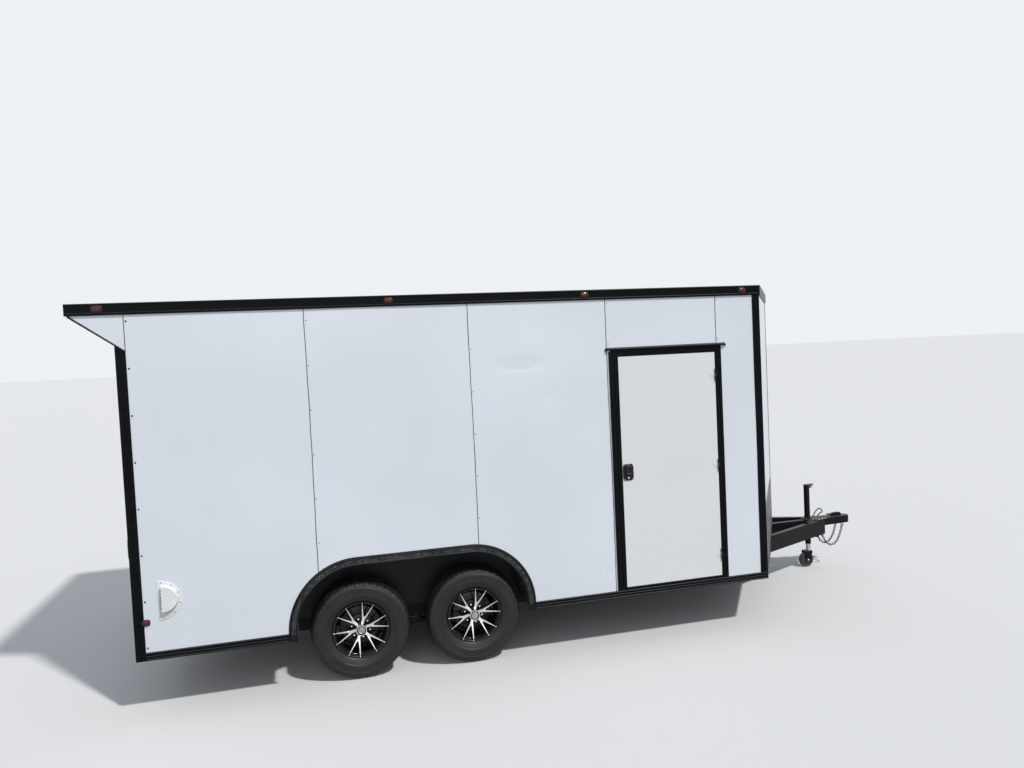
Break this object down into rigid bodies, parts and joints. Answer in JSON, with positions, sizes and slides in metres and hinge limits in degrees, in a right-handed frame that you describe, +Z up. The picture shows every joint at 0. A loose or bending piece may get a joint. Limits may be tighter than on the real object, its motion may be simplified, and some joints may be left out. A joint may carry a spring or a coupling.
{
  "type": "enclosed car trailer",
  "caption": "Enclosed tandem-axle trailer with a V nose, side door, rear spoiler and drop-down ramp, on a triple-tube tongue with a swivel jack.",
  "frame": {"origin": "on the ground below the middle of the overall length and width", "axes": "+X points forward to the coupler, +Y to the trailer's left and +Z up"},
  "size_m": [6.957, 2.635, 2.832],
  "materials": {
    "black_steel": "satin black paint",
    "black_trim": "black powder coat",
    "plywood": "plain plywood",
    "white_skin": "gloss white",
    "black_plastic": "black plastic",
    "zinc_steel": "zinc plated",
    "tread_plate": "bright tread plate",
    "amber_lens": "amber lens",
    "red_lens": "red lens",
    "clear_lens": "clear lens",
    "white_plastic": "white plastic",
    "caster_rubber": "worn rubber",
    "cable_rubber": "black cable",
    "plug_plastic": "black plug",
    "tyre": "dusty rubber",
    "alloy": "machined alloy"
  },
  "bodies": {
    "trailer": {"amber_lamps": "amber_lens", "arch_flares": "black_trim", "axle_clamps": "black_steel", "axles": "black_steel", "bottom_trim": "black_trim", "cam_keepers": "zinc_steel", "corner_posts": "black_steel", "coupler": "black_steel", "crossmembers": "black_steel", "door_frame": "black_trim", "floor_deck": "plywood", "jack_housing": "black_steel", "leaf_springs": "black_steel", "loading_lamps": "clear_lens", "main_rails": "black_steel", "nose_walls": "white_skin", "panel_left_1": "white_skin", "panel_left_2": "white_skin", "panel_left_3": "white_skin", "panel_left_4": "white_skin", "panel_left_5": "white_skin", "panel_right_1": "white_skin", "panel_right_2": "white_skin", "panel_right_3": "white_skin", "panel_right_4": "white_skin", "panel_right_5": "white_skin", "plug": "plug_plastic", "plug_cable": "cable_rubber", "rear_frame": "black_steel", "red_lamps": "red_lens", "roof": "white_skin", "safety_chains": "zinc_steel", "side_vents": "white_plastic", "spoiler": "white_skin", "spring_hangers": "black_steel", "stone_guard": "black_trim", "tongue_tubes": "black_steel", "top_trim": "black_trim", "wheel_wells": "black_trim"},
    "side_door": {"door_leaf": "white_skin", "door_latch": "black_plastic"},
    "ramp": {"ramp_door": "white_skin", "cam_locks": "zinc_steel"},
    "ramp_flap": {"ramp_flap": "tread_plate"},
    "jack_ram": {"jack_ram": "zinc_steel"},
    "caster_fork": {"caster_fork": "black_steel"},
    "caster_wheel": {"caster_wheel": "caster_rubber"},
    "wheel_right_front": {"tyre_right_front": "tyre", "rim_right_front": "alloy", "hub_right_front": "black_steel"},
    "wheel_right_rear": {"tyre_right_rear": "tyre", "rim_right_rear": "alloy", "hub_right_rear": "black_steel"},
    "wheel_left_front": {"tyre_left_front": "tyre", "rim_left_front": "alloy", "hub_left_front": "black_steel"},
    "wheel_left_rear": {"tyre_left_rear": "tyre", "rim_left_rear": "alloy", "hub_left_rear": "black_steel"}
  },
  "joints": [
    {"name": "wheel_right_front_spin", "type": "hinge", "parent": "trailer", "child": "wheel_right_front", "pos_m": [-0.806, -1.1055, 0.3667], "axis": [0, 1, 0], "continuous": true},
    {"name": "wheel_right_rear_spin", "type": "hinge", "parent": "trailer", "child": "wheel_right_rear", "pos_m": [-1.667, -1.1055, 0.3667], "axis": [0, 1, 0], "continuous": true},
    {"name": "wheel_left_front_spin", "type": "hinge", "parent": "trailer", "child": "wheel_left_front", "pos_m": [-0.806, 1.1055, 0.3667], "axis": [0, 1, 0], "continuous": true},
    {"name": "wheel_left_rear_spin", "type": "hinge", "parent": "trailer", "child": "wheel_left_rear", "pos_m": [-1.667, 1.1055, 0.3667], "axis": [0, 1, 0], "continuous": true},
    {"name": "side_door_hinge", "type": "hinge", "parent": "trailer", "child": "side_door", "pos_m": [1.2675, -1.2995, 1.3785], "axis": [0, 0, 1], "range_deg": [0, 170]},
    {"name": "ramp_hinge", "type": "hinge", "parent": "trailer", "child": "ramp", "pos_m": [-3.1875, 0, 0.459], "axis": [0, -1, 0], "range_deg": [0, 103]},
    {"name": "ramp_flap_hinge", "type": "hinge", "parent": "ramp", "child": "ramp_flap", "pos_m": [-3.1372, 0, 2.439], "axis": [0, -1, 0], "range_deg": [0, 174]},
    {"name": "jack_slide", "type": "slide", "parent": "trailer", "child": "jack_ram", "axis": [0, 0, 1], "range_m": [-0.2, 0.065]},
    {"name": "caster_swivel", "type": "hinge", "parent": "jack_ram", "child": "caster_fork", "pos_m": [2.9865, 0, 0.165], "axis": [0, 0, 1], "continuous": true},
    {"name": "caster_spin", "type": "hinge", "parent": "caster_fork", "child": "caster_wheel", "pos_m": [2.9565, 0, 0.075], "axis": [0, 1, 0], "continuous": true}
  ],
  "couplings": [
    {"joint": "ramp_flap_hinge", "follows": "ramp_hinge", "ratio": 1.6893}
  ]
}
